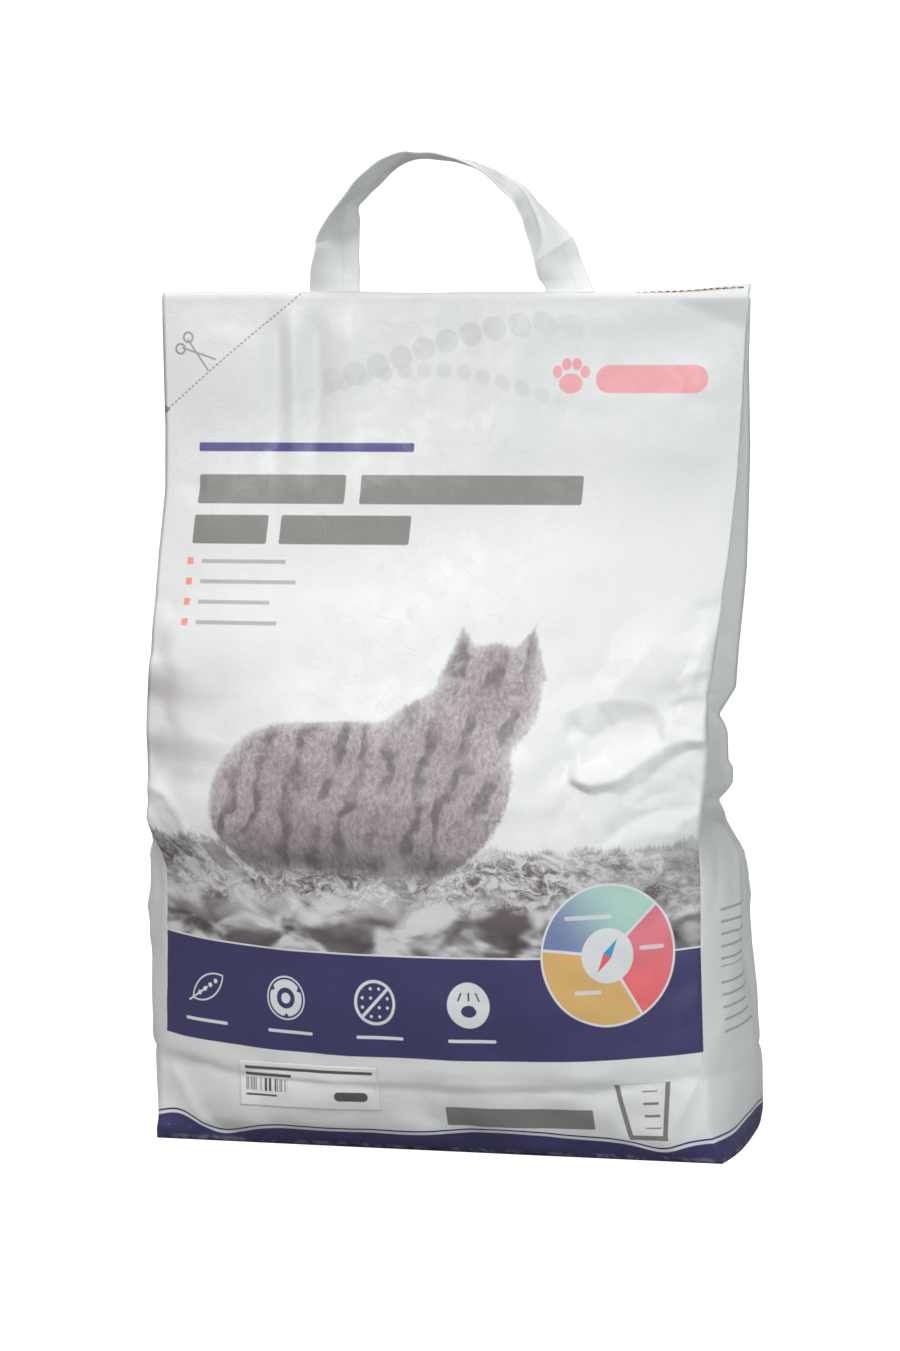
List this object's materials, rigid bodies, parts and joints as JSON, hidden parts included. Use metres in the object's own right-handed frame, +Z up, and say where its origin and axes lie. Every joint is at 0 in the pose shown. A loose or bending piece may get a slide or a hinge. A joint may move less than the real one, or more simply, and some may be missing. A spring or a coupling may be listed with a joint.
{
  "type": "cat litter bag",
  "caption": "Filled, side-gusseted block-bottom paper litter bag with a sewn hem and a folded paper carry handle.",
  "frame": {"origin": "middle of the base, on the surface the bag stands on", "axes": "+Z up through the handle, the printed front faces -Y, +X to the right of the front"},
  "size_m": [0.26, 0.1654, 0.4276],
  "materials": {
    "printed_paper": "satin, coated and printed",
    "strap_paper": "satin",
    "thread": "matte, twisted",
    "label_paper": "semi-gloss"
  },
  "bodies": {
    "root": {"filled_bag": "printed_paper", "carry_handle": "strap_paper", "needle_thread": "thread", "looper_thread": "thread", "shelf_label": "label_paper"}
  },
  "joints": []
}
